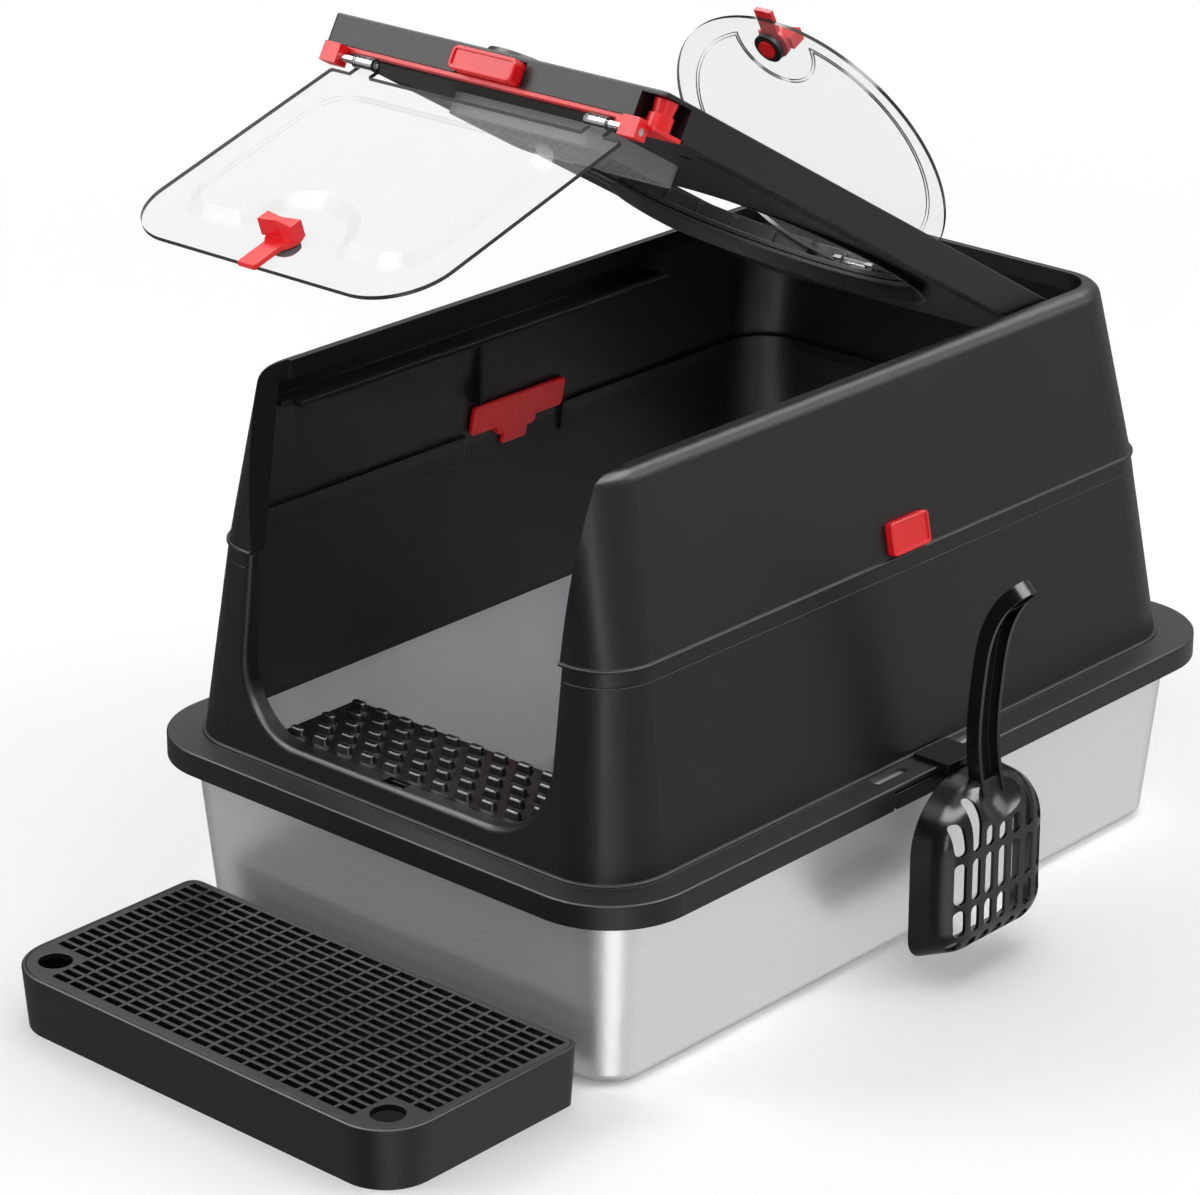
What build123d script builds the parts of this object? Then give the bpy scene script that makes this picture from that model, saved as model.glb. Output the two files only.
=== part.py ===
# Enclosed litter box: steel pan, two black shells, a lift-up lid with two clear
# flaps, a step and a scoop. Millimetres, +Z up, front towards -Y, floor at z = 0.
import os
from dataclasses import dataclass
from math import atan2, cos, degrees, hypot, radians, sin
from build123d import *

os.makedirs("parts", exist_ok=True)

# Fits
running_fit = 0.05
held_fit = 0.02
slide_play = 0.4
seat_play = 0.3

# Steel pan
pan_sheet = 1.2
pan_base_width = 346
pan_base_length = 541
pan_base_corner = 25
pan_wall_lean = 12.7
pan_end_lean = 10.4
pan_top_corner = 33
pan_floor_round = 8
pan_rim_ledge = 10
pan_rim_drop = 8

# Flange and skirt of the lower shell
flange_width = 408
flange_length = 600
flange_corner = 56
flange_top = 131.6
flange_sheet = 3
flange_edge_round = 1.2
skirt_drop = 15.3
skirt_sheet = 2.5
flange_under = flange_top - flange_sheet
skirt_bottom = flange_top - skirt_drop
pan_top = flange_under

# Shell walls, given as outlines at three heights
shell_wall = 2.6


@dataclass
class Outline:
    height: float
    half_width: float
    front: float
    rear: float
    corner: float


wall_foot = Outline(flange_top, 182.5, 279.9, 277, 43)
wall_seam = Outline(257.3, 166.6, 264, 256.5, 34)
wall_top = Outline(368.8, 144.6, 257, 246, 37)
top_edge_round = 9
top_rim_inner = 10.6
top_rim_depth = 12
bead_height = 1.8
bead_width = 1.6
bead_round = 0.8
seam_band = 8.5
groove_height = 0.6
groove_depth = 0.4
spigot_reach = 8
spigot_root = 12
spigot_wall = 2.4

# Front entry
entry_half_width = 127
entry_top_half_width = 137
entry_corner = 48
sill_height = 147
lip_depth = 12
lip_sheet = 4.5
sill_round = 4
column_lip_depth = 32
entry_cut_depth = 45

# Tread behind the sill
tread_width = 210
tread_depth = 66
tread_sheet = 2
tread_corner = 6
stud_length = 13
stud_width = 7
stud_height = 5
stud_draft = 15
stud_round = 1.8
stud_pitch_x = 20
stud_columns = 10
stud_rows = 5
shelf_sheet = 3
shelf_margin = 4
keeper_play = 2
keeper_land = 4
keeper_drop = 7

# Ledges and ribs inside the upper shell
ledge_sheet = 3
ledge_front = -227
ledge_rear = 120
ledge_inner = 126
rib_place = -37.5
rib_width = 2.4
rib_inner = 149

# Lid, drawn in its own frame: origin on the hinge axis, y to the rear, z up
lid_open = 30
hinge_y = 186
hinge_z = 358.6
lid_reach = 424
lid_tail = 46
lid_half_width = 131
lid_top = 7.4
lid_depth = 22
lid_wall = 2.5
lid_skin = 3
lid_edge_round = 1.2
lid_border = 8
lid_panel_drop = 5.5
lid_front_depth = 18.3
lid_front_corner = 3
lid_rear_corner = 27
hinge_pin_radius = 3
hinge_boss = 18
boss_height = 17
boss_drop = 2.5
boss_land = 1
rail_boss_low = -7
rail_boss_depth = 14
rail_boss_reach = 12

# Round opening in the lid
opening_back = 290
opening_radius = 96
recess_radius = 108
recess_depth = 10.5
recess_sheet = 3
post_count = 26
post_width = 3
post_reach = 2.5
post_drop = 2
disc_pocket_half = 38
disc_pocket_back = 1.6
collar_drop = 29.5
collar_full_back = 40
collar_flare = 11
collar_sheet = 2.5
collar_play = 1

# Underside panel of the lid
liner_sheet = 2.5
liner_front = 10.5
groove_pitch = 3.5
groove_count = 4
groove_side = 3
groove_front = 60
groove_rear = 20
liner_window_x = 97
liner_window_back = 74
liner_window_size = 9

# Release button in the lid front
button_width = 50
button_drop = 3.4
button_proud = 9
button_depth = 14
button_travel = 4
button_corner = 4
button_edge_round = 1
button_border = 2.2
button_dish = 1.2
button_flange = 3
button_boss_radius = 21
button_boss_height = 2.6
button_boss_set = 1
button_boss_draft = 30

# Flap carrier, ears and corner knob
carrier_height = 2.6
carrier_depth = 8
carrier_end = 128.5
ear_place = 118
ear_width = 13
ear_front = -7
ear_rear = 3
ear_drop = 31
flap_axis_back = -2
flap_axis_drop = 26
flap_pin_radius = 2.5
flap_pin_inner = 86
corner_inner = 113
corner_depth = 25
corner_sheet = 2.5
knob_radius = 7.6
knob_waist = 5.2
knob_stem_radius = 2.5
knob_taper = 1
base_play = 1.5
bar_front = 0.6

# Front flap, drawn in its own frame: origin on its hinge axis, y back, z up
flap_dip = 17.4
flap_sheet = 2.5
flap_below_axis = 3.4
flap_near = 7.4
flap_length = 184.5
flap_half_width = 115
flap_corner = 41
flap_near_corner = 2
strap_overlap = 4
strap_reach = 2
flap_panel_half_width = 94
flap_panel_near = 26
flap_panel_far = 166
flap_panel_corner = 26
flap_emboss = 5
flap_draft = 60
latch_bay_round = 12
knuckle_radius = 4
knuckle_inner = 84
knuckle_outer = 100
flap_latch_place = 165
latch_bay_radius = 35

# Turn latches
latch_stem_radius = 4
latch_base_radius = 11
latch_base_height = 3
latch_tongue_width = 13
latch_wing_length = 26
latch_wing_width = 9
latch_wing_height = 11
front_hub_radius = 8
top_hub_radius = 10
latch_hub_height = 3
latch_cap_radius = 6
latch_edge_round = 0.8
flap_tongue_reach = 31
disc_tongue_reach = 25

# Round flap, drawn in its own frame: origin on its hinge axis, y back, z up
disc_open = 32
disc_radius = 102
disc_sheet = 2.5
disc_back = 393
disc_pin_radius = 1.5
disc_knuckle_radius = 3.2
disc_knuckle_half = 10
disc_lug_sheet = 5
disc_latch_inset = 20
disc_bead_inset = 13
disc_bead_width = 2
disc_bead_height = 1.2
disc_set = 1
disc_bay_play = 4
disc_relief = 5

# Filter in the lid
filter_half_width = 56
filter_front = 46
filter_rear = 116
cover_margin = 6
cover_sheet = 2.5
cover_depth = 13
mesh_pitch = 8
mesh_gap = 6
clip_place = -7
clip_width = 18
clip_sheet = 2
clip_reach = 32

# Seam clips
clip_button_y = 5
clip_button_z = 269
clip_button_width = 36
clip_button_height = 21
clip_button_corner = 3
clip_button_proud = 5
clip_button_rim = 2
clip_dish = 1
clip_plate_width = 86
clip_plate_height = 20
clip_plate_lift = 7
clip_plate_gap = 1.2
clip_plate_sheet = 2.5
clip_tongue_width = 22
clip_tongue_drop = 14
clip_lift = 1.5
clip_edge_round = 1

# Pan buckles
buckle_half_width = 50
buckle_play = 0.6
buckle_top_gap = 1.8
buckle_hook_half = 42
buckle_hook_sheet = 2.3
buckle_hook_reach = 194.4
buckle_axis_x = 198.6
buckle_axis_z = 124
buckle_pin_radius = 0.9
buckle_pin_half = 44
buckle_knuckle_radius = 2.2
buckle_knuckle_near = 36
buckle_web = 2.4
lug_near = 28
lug_width = 6
lug_outer = 200.2
slot_length = 30
slot_width = 7
slot_corner = 2
slot_place = 38
slot_x = 190.2

# Scoop and its hanger
scoop_y = 9
hanger_foot_inner = 184.5
hanger_foot_sheet = 3
hanger_half_width = 16
hanger_gap = 207.4
hanger_arm = 4.2
hanger_peg_half = 7
hanger_peg_sheet = 4.5
hanger_peg_end = 222.5
scoop_rim_x = 212.6
scoop_back_x = 243
scoop_half_width = 53
scoop_bottom = 14
scoop_top = 129
scoop_top_corner = 44
scoop_low_corner = 17
scoop_back_half_width = 48
scoop_back_bottom = 24
scoop_back_top = 125
scoop_back_corner = 36
scoop_back_low_corner = 26
scoop_sheet = 2.2
scoop_back_round = 20
valley_x = 266
valley_radius = 36
valley_z = 132
scoop_slot_width = 8
scoop_slot_pitch = 13
scoop_slot_rows = ((71.5, 28), (45, 18), (28, 9))
scoop_slot_columns = 7
scoop_neck_slots = ((100, 20), (106, 32), (96.5, 14), (95.5, 12), (96.5, 14), (106, 32), (100, 20))
handle_width = 21
handle_depth = 9.5
handle_wall = 2.6
handle_points = ((231, 116), (225, 148), (227, 194), (231.8, 223), (238.5, 239), (247, 250.5))

# Step
step_x = 2.5
step_front = -449
step_depth = 160
step_width = 329
step_height = 39.4
step_draft = 2.9
step_front_corner = 34.4
step_back_corner = 8.9
step_wall = 2.6
step_inner_corner = 2
grate_sheet = 4
grate_ledge = 5
step_edge_round = 1.2
cell_pitch_x = 15.05
cell_pitch_y = 7.72
cell_length = 12.9
cell_width = 5.3
cell_columns = 21
cell_rows = 19
cell_shift = 2.3
finger_radius = 10.5
finger_side = 24
finger_front = 25


def outline_at(low, high, height):
    share = (height - low.height) / (high.height - low.height)

    def mix(a, b):
        return a + (b - a) * share

    return Outline(
        height,
        mix(low.half_width, high.half_width),
        mix(low.front, high.front),
        mix(low.rear, high.rear),
        mix(low.corner, high.corner),
    )


def shell_shape(outline, inset=0, mode=Mode.ADD):
    with Locations((0, (outline.rear - outline.front) / 2)):
        RectangleRounded(
            2 * (outline.half_width - inset),
            outline.front + outline.rear - 2 * inset,
            outline.corner - inset,
            mode=mode,
        )


def front_slope(low, high, high_depth):
    Polyline(
        (-low.front, low.height),
        (-high.front, high.height),
        (high_depth - high.front, high.height),
        (lip_depth - low.front, low.height),
        close=True,
    )


def on_entry_front(edge):
    middle = edge.center()
    front = -outline_at(wall_foot, wall_seam, middle.Z).front
    beside = abs(middle.X) < entry_half_width + held_fit
    above = middle.Z > sill_height - held_fit
    return beside and above and abs(middle.Y - front) < held_fit


def across(frame, x, y, z):
    return Plane(frame.from_local_coords(Vector(x, y, z)), x_dir=frame.y_dir, z_dir=frame.x_dir)


def facing_front(frame, y):
    return Plane(frame.from_local_coords(Vector(0, y, 0)), x_dir=frame.x_dir, z_dir=-frame.y_dir)


def tilted(origin, angle):
    turn = radians(angle)
    return Plane(origin, x_dir=(1, 0, 0), z_dir=(0, sin(turn), cos(turn)))


def keep(builder, label):
    builder.part.label = label
    export_step(builder.part, f"parts/{label}.step")


# Frames of the lid and of both flaps
lid_plane = tilted((0, hinge_y, hinge_z), lid_open)
flap_axis_y = flap_axis_back - lid_reach
flap_axis_z = lid_top - flap_axis_drop
flap_plane = tilted(lid_plane.from_local_coords(Vector(0, flap_axis_y, flap_axis_z)), -flap_dip)
opening_y = opening_back - lid_reach
panel_top = lid_top - lid_panel_drop
recess_floor = panel_top - recess_depth
recess_bottom = recess_floor - recess_sheet
disc_axis_y = disc_back - lid_reach
disc_axis_z = recess_floor + seat_play + disc_sheet
disc_plane = tilted(lid_plane.from_local_coords(Vector(0, disc_axis_y, disc_axis_z)), lid_open + disc_open)
lid_bottom = lid_top - lid_depth
lid_front_bottom = lid_top - lid_front_depth
lid_axis = Axis(lid_plane.origin, lid_plane.z_dir)
lid_length_axis = Axis(lid_plane.origin, lid_plane.y_dir)

# Steel pan: drawn tray with a turned-out rim
pan_top_width = pan_base_width + 2 * pan_wall_lean
pan_top_length = pan_base_length + 2 * pan_end_lean
rim_width = pan_top_width + 2 * pan_rim_ledge
rim_length = pan_top_length + 2 * pan_rim_ledge
rim_corner = pan_top_corner + pan_rim_ledge


def pan_outline(width, length, corner, inset=0, mode=Mode.ADD):
    RectangleRounded(width - 2 * inset, length - 2 * inset, corner - inset, mode=mode)


with BuildPart() as pan_hollow:
    with BuildSketch(Plane.XY.offset(pan_sheet)):
        pan_outline(pan_base_width, pan_base_length, pan_base_corner, pan_sheet)
    with BuildSketch(Plane.XY.offset(pan_top)):
        pan_outline(pan_top_width, pan_top_length, pan_top_corner, pan_sheet)
    loft()
    fillet(pan_hollow.faces().sort_by(Axis.Z)[0].edges(), pan_floor_round - pan_sheet)

with BuildPart() as steel_pan:
    with BuildSketch(Plane.XY):
        pan_outline(pan_base_width, pan_base_length, pan_base_corner)
    with BuildSketch(Plane.XY.offset(pan_top)):
        pan_outline(pan_top_width, pan_top_length, pan_top_corner)
    loft()
    fillet(steel_pan.faces().sort_by(Axis.Z)[0].edges(), pan_floor_round)
    with BuildSketch(Plane.XY.offset(pan_top - pan_sheet)):
        pan_outline(rim_width, rim_length, rim_corner)
    extrude(amount=pan_sheet)
    with BuildSketch(Plane.XY.offset(pan_top - pan_rim_drop)):
        pan_outline(rim_width, rim_length, rim_corner)
        pan_outline(rim_width, rim_length, rim_corner, pan_sheet, Mode.SUBTRACT)
    extrude(amount=pan_rim_drop)
    add(pan_hollow.part, mode=Mode.SUBTRACT)
keep(steel_pan, "steel_pan")

# Lower shell: flange, skirt, leaning walls, spigot, entry with a deep lip
wall_band = outline_at(wall_foot, wall_seam, wall_seam.height - seam_band)
spigot_low = outline_at(wall_foot, wall_seam, wall_seam.height - spigot_root)
spigot_high = outline_at(wall_seam, wall_top, wall_seam.height + spigot_reach)
clip_half_span = clip_plate_width / 2 + slide_play + shell_wall
sill_front = outline_at(wall_foot, wall_seam, sill_height).front
tread_front = lip_depth - sill_front + slide_play
tread_top = sill_height
shelf_top = tread_top - tread_sheet
keeper_half_width = latch_tongue_width / 2 + keeper_play
keeper_depth = lip_depth - keeper_land
skirt_inner = flange_width / 2 - skirt_sheet

with BuildPart() as entry_lip:
    with BuildSketch(Plane.XZ.offset(wall_foot.front - 2 * lip_depth)):
        with Locations((0, sill_height + flange_length / 4)):
            RectangleRounded(
                2 * (entry_half_width + lip_sheet),
                flange_length / 2 + 2 * lip_sheet,
                entry_corner + lip_sheet,
            )
            RectangleRounded(2 * entry_half_width, flange_length / 2, entry_corner, mode=Mode.SUBTRACT)
    extrude(amount=3 * lip_depth)
    with BuildSketch(Plane.YZ.offset(-flange_width / 2)):
        with BuildLine():
            front_slope(wall_foot, wall_seam, lip_depth)
        make_face()
    extrude(amount=flange_width, mode=Mode.INTERSECT)

spigot_outer = shell_wall + slide_play
spigot_inner = spigot_outer + spigot_wall
with BuildPart() as spigot:
    for low, high, inset in (
        (spigot_low, wall_seam, shell_wall - held_fit),
        (wall_seam, spigot_high, spigot_outer),
    ):
        with BuildSketch(Plane.XY.offset(low.height)):
            shell_shape(low, inset)
        with BuildSketch(Plane.XY.offset(high.height)):
            shell_shape(high, inset)
        loft()
    for low, high in ((spigot_low, wall_seam), (wall_seam, spigot_high)):
        with BuildSketch(Plane.XY.offset(low.height)):
            shell_shape(low, spigot_inner)
        with BuildSketch(Plane.XY.offset(high.height)):
            shell_shape(high, spigot_inner)
        loft(mode=Mode.SUBTRACT)
    with BuildSketch(Plane.XY.offset(spigot_low.height)):
        with Locations((0, clip_button_y)):
            Rectangle(flange_width, 2 * clip_half_span)
        with Locations((0, -wall_seam.front)):
            Rectangle(2 * (entry_half_width + lip_sheet + 4 * slide_play), 2 * entry_cut_depth)
    extrude(amount=3 * spigot_reach, mode=Mode.SUBTRACT)

with BuildPart() as lower_enclosure:
    with BuildSketch(Plane.XY.offset(flange_under)):
        RectangleRounded(flange_width, flange_length, flange_corner)
    extrude(amount=flange_sheet)
    fillet(lower_enclosure.faces().sort_by(Axis.Z)[-1].edges(), flange_edge_round)
    with BuildSketch(Plane.XY.offset(skirt_bottom)):
        RectangleRounded(flange_width, flange_length, flange_corner)
        RectangleRounded(
            flange_width - 2 * skirt_sheet,
            flange_length - 2 * skirt_sheet,
            flange_corner - skirt_sheet,
            mode=Mode.SUBTRACT,
        )
    extrude(amount=flange_under - skirt_bottom)
    with BuildSketch(Plane.XY.offset(wall_foot.height)):
        shell_shape(wall_foot, -bead_width)
    extrude(amount=bead_height)
    fillet(lower_enclosure.faces().sort_by(Axis.Z)[-1].edges(), bead_round)
    with BuildSketch(Plane.XY.offset(wall_foot.height)):
        shell_shape(wall_foot)
    with BuildSketch(Plane.XY.offset(wall_seam.height)):
        shell_shape(wall_seam)
    loft()
    with BuildSketch(Plane.XY.offset(wall_band.height - groove_height)):
        shell_shape(wall_band, -shell_wall)
        shell_shape(wall_band, groove_depth, Mode.SUBTRACT)
    extrude(amount=groove_height, mode=Mode.SUBTRACT)
    with BuildSketch(Plane.XY.offset(flange_under)):
        shell_shape(wall_foot, shell_wall)
    extrude(amount=flange_sheet, mode=Mode.SUBTRACT)
    with BuildSketch(Plane.XY.offset(wall_foot.height)):
        shell_shape(wall_foot, shell_wall)
    with BuildSketch(Plane.XY.offset(wall_seam.height)):
        shell_shape(wall_seam, shell_wall)
    loft(mode=Mode.SUBTRACT)
    add(spigot.part)
    with BuildSketch(Plane.XZ.offset(wall_foot.front - entry_cut_depth)):
        with Locations((0, sill_height + flange_length / 4)):
            RectangleRounded(2 * entry_half_width, flange_length / 2, entry_corner)
    extrude(amount=2 * entry_cut_depth, mode=Mode.SUBTRACT)
    add(entry_lip.part)
    fillet(lower_enclosure.edges().filter_by(on_entry_front), sill_round)
    with BuildSketch(Plane.XY.offset(shelf_top - shelf_sheet)):
        with Locations((0, tread_front - lip_sheet)):
            Rectangle(
                tread_width + 2 * shelf_margin,
                tread_depth + lip_sheet + shelf_margin,
                align=(Align.CENTER, Align.MIN),
            )
    extrude(amount=shelf_sheet)
    with BuildSketch(Plane.XY.offset(sill_height - keeper_drop)):
        with Locations((0, lip_depth - sill_front)):
            Rectangle(2 * keeper_half_width, keeper_depth, align=(Align.CENTER, Align.MAX))
    extrude(amount=2 * keeper_drop, mode=Mode.SUBTRACT)
    with BuildSketch(Plane.XY.offset(skirt_bottom)):
        Rectangle(2 * flange_width, 2 * buckle_half_width)
        Rectangle(2 * (skirt_inner - seat_play), 2 * buckle_half_width, mode=Mode.SUBTRACT)
    extrude(amount=flange_under - skirt_bottom, mode=Mode.SUBTRACT)
    with BuildSketch(Plane.XY.offset(flange_under)):
        with Locations(*[(sx * slot_x, sy * slot_place) for sx in (-1, 1) for sy in (-1, 1)]):
            RectangleRounded(slot_width, slot_length, slot_corner)
    extrude(amount=flange_sheet, mode=Mode.SUBTRACT)
    lug_height = flange_under - buckle_axis_z + buckle_knuckle_radius
    with BuildSketch(Plane.XY.offset(flange_under - lug_height)):
        for side in (-1, 1):
            for end in (-1, 1):
                with Locations((side * buckle_axis_x, end * (lug_near + lug_width / 2))):
                    Rectangle(2 * (lug_outer - buckle_axis_x), lug_width)
    extrude(amount=lug_height)
    with BuildSketch(Plane.XZ.offset(-buckle_half_width)):
        with Locations((buckle_axis_x, buckle_axis_z), (-buckle_axis_x, buckle_axis_z)):
            Circle(buckle_pin_radius + held_fit)
    extrude(amount=2 * buckle_half_width, mode=Mode.SUBTRACT)
keep(lower_enclosure, "lower_enclosure")

# Studded tread on the shelf behind the sill
stud_places = [
    (
        (column - (stud_columns - 1) / 2) * stud_pitch_x + (row % 2 - 0.5) * stud_pitch_x / 2,
        tread_front + (row + 0.5) * tread_depth / stud_rows,
    )
    for row in range(stud_rows)
    for column in range(stud_columns)
]
with BuildPart() as stud:
    with BuildSketch(Plane.XY.offset(tread_top)):
        SlotOverall(stud_length, stud_width)
    extrude(amount=stud_height, taper=stud_draft)
    fillet(stud.faces().sort_by(Axis.Z)[-1].edges(), stud_round)

with BuildPart() as entry_tread:
    with BuildSketch(Plane.XY.offset(shelf_top)):
        with Locations((0, tread_front + tread_depth / 2)):
            RectangleRounded(tread_width, tread_depth, tread_corner)
    extrude(amount=tread_sheet)
    with Locations(*stud_places):
        add(stud.part)
keep(entry_tread, "entry_tread")

# Upper shell: leaning walls, rolled top rim, ledges, hinge bosses, clip windows
rim_under = outline_at(wall_seam, wall_top, wall_top.height - top_rim_depth)
ledge_top = hinge_z + lid_bottom - slide_play
boss_inner = lid_half_width + slide_play
wall_lean = degrees(atan2(wall_seam.half_width - wall_top.half_width, wall_top.height - wall_seam.height))
clip_wall_x = outline_at(wall_seam, wall_top, clip_button_z).half_width
clip_turn = radians(wall_lean)
clip_plane = Plane(
    (clip_wall_x, clip_button_y, clip_button_z),
    x_dir=(0, 1, 0),
    z_dir=(cos(clip_turn), 0, sin(clip_turn)),
)
left_clip_plane = Plane(
    (-clip_wall_x, clip_button_y, clip_button_z),
    x_dir=(0, -1, 0),
    z_dir=(-cos(clip_turn), 0, sin(clip_turn)),
)
boss_outer = rim_under.half_width - shell_wall - boss_land
right_ledge_front = hinge_y - lid_reach + corner_depth + keeper_play

with BuildPart() as upper_form:
    with BuildSketch(Plane.XY.offset(wall_seam.height)):
        shell_shape(wall_seam)
    with BuildSketch(Plane.XY.offset(wall_top.height)):
        shell_shape(wall_top)
    loft()
    fillet(upper_form.faces().sort_by(Axis.Z)[-1].edges(), top_edge_round)

with BuildPart() as column_lips:
    with BuildSketch(Plane.XZ.offset(wall_seam.front - 2 * column_lip_depth)):
        for side in (-1, 1):
            with BuildLine():
                Polyline(
                    (side * entry_half_width, wall_seam.height),
                    (side * (entry_half_width + lip_sheet), wall_seam.height),
                    (side * (entry_top_half_width + lip_sheet), wall_top.height),
                    (side * entry_top_half_width, wall_top.height),
                    close=True,
                )
            make_face()
    extrude(amount=3 * column_lip_depth)
    with BuildSketch(Plane.YZ.offset(-flange_width / 2)):
        with BuildLine():
            front_slope(wall_seam, wall_top, column_lip_depth)
        make_face()
    extrude(amount=flange_width, mode=Mode.INTERSECT)
    add(upper_form.part, mode=Mode.INTERSECT)

with BuildPart() as wall_fittings:
    with BuildSketch(Plane.XY.offset(ledge_top - ledge_sheet)):
        for side, front in ((-1, ledge_front), (1, right_ledge_front)):
            with Locations((side * ledge_inner, front)):
                Rectangle(
                    flange_width / 2 - ledge_inner,
                    ledge_rear - front,
                    align=(Align.MIN if side > 0 else Align.MAX, Align.MIN),
                )
    extrude(amount=ledge_sheet)
    with BuildSketch(Plane.XY.offset(clip_button_z + clip_plate_height)):
        for side in (-1, 1):
            with Locations((side * rib_inner, rib_place)):
                Rectangle(
                    flange_width / 2 - rib_inner,
                    rib_width,
                    align=(Align.MIN if side > 0 else Align.MAX, Align.CENTER),
                )
    extrude(amount=ledge_top - ledge_sheet - clip_button_z - clip_plate_height)
    with BuildSketch(Plane.XY.offset(wall_seam.height)):
        shell_shape(wall_seam, shell_wall / 2)
    with BuildSketch(Plane.XY.offset(wall_top.height)):
        shell_shape(wall_top, shell_wall / 2)
    loft(mode=Mode.INTERSECT)

with BuildPart() as upper_enclosure:
    with BuildSketch(Plane.XY.offset(wall_seam.height)):
        shell_shape(wall_seam, -bead_width)
    extrude(amount=bead_height)
    fillet(upper_enclosure.faces().sort_by(Axis.Z)[-1].edges(), bead_round)
    add(upper_form.part)
    with BuildSketch(Plane.XY.offset(wall_seam.height)):
        shell_shape(wall_seam, shell_wall)
    with BuildSketch(Plane.XY.offset(rim_under.height)):
        shell_shape(rim_under, shell_wall)
    loft(mode=Mode.SUBTRACT)
    with BuildSketch(Plane.XY.offset(rim_under.height)):
        shell_shape(wall_top, top_rim_inner)
    extrude(amount=top_rim_depth, mode=Mode.SUBTRACT)
    add(wall_fittings.part)
    for side in (-1, 1):
        with BuildSketch(Plane.YZ.offset(side * boss_inner)):
            with Locations((hinge_y, hinge_z - boss_drop)):
                RectangleRounded(hinge_boss, boss_height, hinge_boss / 3)
        extrude(amount=side * (boss_outer - boss_inner))
    with BuildSketch(Plane.YZ.offset(boss_land - boss_outer)):
        with Locations((hinge_y, hinge_z)):
            Circle(hinge_pin_radius + running_fit)
    extrude(amount=2 * (boss_outer - boss_land), mode=Mode.SUBTRACT)
    with BuildSketch(Plane.XZ.offset(wall_seam.front - entry_cut_depth)):
        with BuildLine():
            Polyline(
                (-entry_half_width, wall_seam.height),
                (entry_half_width, wall_seam.height),
                (entry_top_half_width, wall_top.height),
                (-entry_top_half_width, wall_top.height),
                close=True,
            )
        make_face()
    extrude(amount=2 * entry_cut_depth, mode=Mode.SUBTRACT)
    add(column_lips.part)
    for plane in (clip_plane, left_clip_plane):
        with BuildSketch(plane.offset(-2 * shell_wall)):
            with Locations((0, clip_lift)):
                RectangleRounded(
                    clip_button_width + 2 * slide_play,
                    clip_button_height + 2 * slide_play,
                    clip_button_corner + slide_play,
                )
        extrude(amount=4 * shell_wall, mode=Mode.SUBTRACT)
keep(upper_enclosure, "upper_enclosure")

# Seam clips: push button outside, T-shaped plate inside
plate_back = -shell_wall - clip_plate_gap - clip_plate_sheet
with BuildPart() as right_seam_clip:
    with BuildSketch(clip_plane.offset(plate_back)):
        with Locations((0, clip_lift)):
            RectangleRounded(clip_button_width, clip_button_height, clip_button_corner)
    extrude(amount=clip_button_proud - plate_back)
    clip_axis = Axis(clip_plane.origin, clip_plane.z_dir)
    fillet(right_seam_clip.faces().sort_by(clip_axis)[-1].edges(), clip_edge_round)
    with BuildSketch(clip_plane.offset(clip_button_proud - clip_dish)):
        with Locations((0, clip_lift)):
            RectangleRounded(
                clip_button_width - 2 * clip_button_rim,
                clip_button_height - 2 * clip_button_rim,
                clip_button_corner - clip_button_rim / 2,
            )
    extrude(amount=clip_dish, mode=Mode.SUBTRACT)
    with BuildSketch(clip_plane.offset(plate_back)):
        with Locations((0, clip_plate_lift)):
            RectangleRounded(clip_plate_width, clip_plate_height, clip_button_corner)
            Rectangle(
                clip_tongue_width, clip_plate_height / 2 + clip_tongue_drop, align=(Align.CENTER, Align.MAX)
            )
    extrude(amount=clip_plate_sheet)
keep(right_seam_clip, "right_seam_clip")

with BuildPart() as left_seam_clip:
    mirror(right_seam_clip.part, about=Plane.YZ)
keep(left_seam_clip, "left_seam_clip")

# Pan buckles: skirt segments that swing out on pins under the flange
buckle_top = flange_under - buckle_top_gap
buckle_height = buckle_top - skirt_bottom
with BuildPart() as right_pan_buckle:
    with BuildSketch(Plane.YZ.offset(skirt_inner)) as buckle_face:
        with Locations((0, skirt_bottom + buckle_height / 2)):
            Rectangle(2 * (buckle_half_width - buckle_play), buckle_height)
        fillet(buckle_face.vertices().group_by(Axis.Y)[0], buckle_height / 3)
    extrude(amount=skirt_sheet)
    with BuildSketch(Plane.XY.offset(skirt_bottom)):
        with Locations((buckle_hook_reach, 0)):
            Rectangle(
                skirt_inner - buckle_hook_reach, 2 * buckle_hook_half, align=(Align.MIN, Align.CENTER)
            )
    extrude(amount=buckle_hook_sheet)
    for end in (-1, 1):
        with BuildSketch(Plane.XZ.offset(-end * buckle_knuckle_near)):
            with Locations((buckle_axis_x, buckle_axis_z)):
                Circle(buckle_knuckle_radius)
                Rectangle(skirt_inner - buckle_axis_x, buckle_web, align=(Align.MIN, Align.CENTER))
        extrude(amount=-end * (buckle_pin_half - buckle_knuckle_near))
    with BuildSketch(Plane.XZ.offset(-buckle_half_width)):
        with Locations((buckle_axis_x, buckle_axis_z)):
            Circle(buckle_pin_radius + running_fit)
    extrude(amount=2 * buckle_half_width, mode=Mode.SUBTRACT)
keep(right_pan_buckle, "right_pan_buckle")

with BuildPart() as left_pan_buckle:
    mirror(right_pan_buckle.part, about=Plane.YZ)
keep(left_pan_buckle, "left_pan_buckle")

with BuildPart() as right_buckle_pin:
    with BuildSketch(Plane.XZ.offset(-buckle_pin_half)):
        with Locations((buckle_axis_x, buckle_axis_z)):
            Circle(buckle_pin_radius)
    extrude(amount=2 * buckle_pin_half)
keep(right_buckle_pin, "right_buckle_pin")

with BuildPart() as left_buckle_pin:
    mirror(right_buckle_pin.part, about=Plane.YZ)
keep(left_buckle_pin, "left_buckle_pin")

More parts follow.
